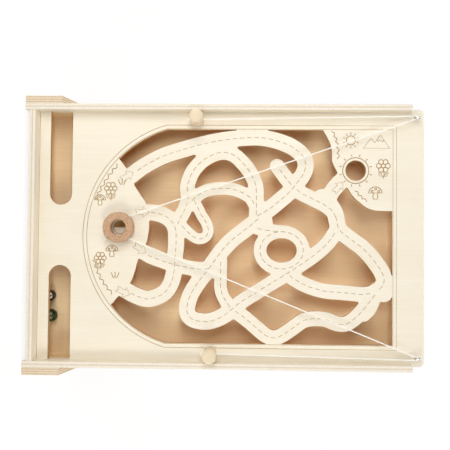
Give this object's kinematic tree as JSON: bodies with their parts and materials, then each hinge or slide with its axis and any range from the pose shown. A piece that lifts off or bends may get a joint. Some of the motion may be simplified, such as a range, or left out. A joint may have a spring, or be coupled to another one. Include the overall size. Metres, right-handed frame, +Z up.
{
  "type": "string-lift labyrinth game",
  "caption": "Wooden tabletop labyrinth game: strings over corner eyes lift a ring that carries a ball up winding roads past cut-outs to a goal hole, with a ball tray below.",
  "frame": {"origin": "on the ground, midway between the feet and midway from the front of the feet to the rearmost point of the leaning case", "axes": "+X to the player's right, +Y away from the player, +Z up; the panel leans back 13 degrees about X"},
  "size_m": [0.2834, 0.1304, 0.3941],
  "materials": {
    "panel_birch": "sanded birch plywood, burnt line drawing",
    "back_birch": "plain birch plywood",
    "case_birch": "sanded birch plywood with bare layered edges",
    "foot_birch": "sanded birch plywood with bare layered edges",
    "beech": "turned beech, waxed",
    "knob_birch": "turned birch, waxed",
    "plated_wire": "nickel-plated wire",
    "cotton": "twisted white string",
    "polished_steel": "polished bearing ball",
    "green_glass": "dark bottle glass",
    "plain_steel": "bare steel"
  },
  "bodies": {
    "root": {"front_panel": "panel_birch", "back_panel": "back_birch", "left_rail": "case_birch", "right_rail": "case_birch", "tray_floor": "case_birch", "top_rail": "case_birch", "left_foot": "foot_birch", "right_foot": "foot_birch", "left_eye": "plated_wire", "right_eye": "plated_wire", "left_string_span": "cotton", "right_string_span": "cotton", "left_string_turn": "cotton", "right_string_turn": "cotton", "left_string_return": "cotton", "right_string_return": "cotton", "back_nails_set": "plain_steel", "floor_nails": "plain_steel", "top_nails": "plain_steel", "foot_screws": "plain_steel"},
    "ring_carrier": {"ring": "beech", "ring_knots": "cotton"},
    "left_pull": {"left_knob": "knob_birch", "left_knob_knot": "cotton"},
    "right_pull": {"right_knob": "knob_birch", "right_knob_knot": "cotton"},
    "steel_roller": {"steel_ball": "polished_steel"},
    "glass_roller": {"glass_marble": "green_glass"}
  },
  "joints": [
    {"name": "ring_lift", "type": "slide", "parent": "root", "child": "ring_carrier", "axis": [0, 0.225, 0.9744], "range_m": [0, 0.24], "deforming": ["left_string_span", "right_string_span"]},
    {"name": "left_knob_pull", "type": "slide", "parent": "root", "child": "left_pull", "axis": [0, -0.682, -0.7314], "range_m": [0, 0.2081], "deforming": ["left_string_return"]},
    {"name": "right_knob_pull", "type": "slide", "parent": "root", "child": "right_pull", "axis": [0, -0.682, -0.7314], "range_m": [0, 0.1983], "deforming": ["right_string_return"]},
    {"name": "steel_ball_roll", "type": "slide", "parent": "root", "child": "steel_roller", "axis": [1, 0, 0], "range_m": [-0.1835, 0.003]},
    {"name": "glass_marble_roll", "type": "slide", "parent": "root", "child": "glass_roller", "axis": [1, 0, 0], "range_m": [-0.003, 0.0345]}
  ],
  "couplings": [
    {"joint": "left_knob_pull", "follows": "ring_lift", "ratio": 0.8637},
    {"joint": "right_knob_pull", "follows": "ring_lift", "ratio": 0.8228}
  ]
}
